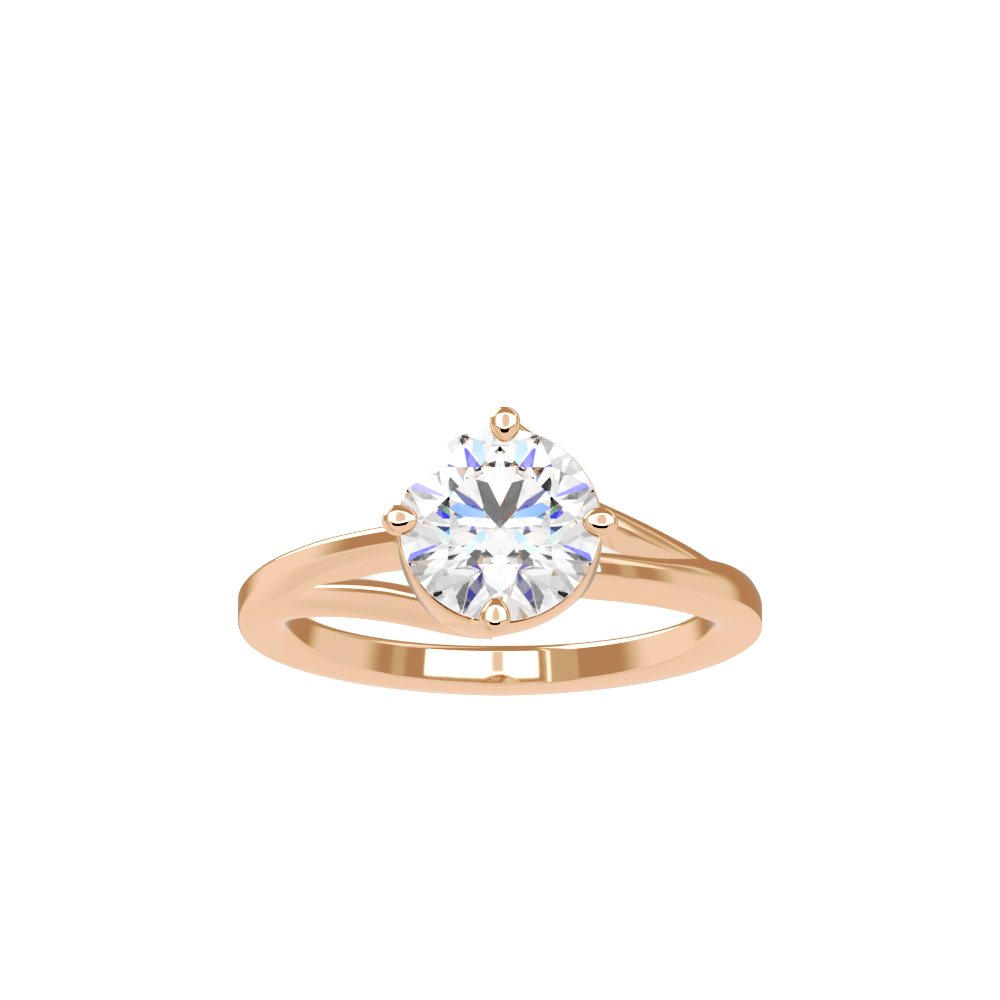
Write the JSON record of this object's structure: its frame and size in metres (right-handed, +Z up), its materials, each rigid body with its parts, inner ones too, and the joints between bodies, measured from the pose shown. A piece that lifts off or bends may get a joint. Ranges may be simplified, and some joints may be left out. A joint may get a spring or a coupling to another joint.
{
  "type": "bypass solitaire ring",
  "caption": "Rose-gold ring whose split shank ends pass each other beside a round brilliant held by claws in a low open cup.",
  "frame": {"origin": "middle of the underside of the bounding box, on the surface that the ring lies on", "axes": "+X across the finger, +Y from the stone towards the back of the shank, +Z up, which is within 8.5 degrees of the finger's axis"},
  "size_m": [0.0206, 0.025, 0.0087],
  "materials": {
    "rose_gold": "polished rose gold",
    "diamond": "clear, faceted and polished"
  },
  "bodies": {
    "root": {"ring_mount": "rose_gold", "centre_stone": "diamond"}
  },
  "joints": []
}
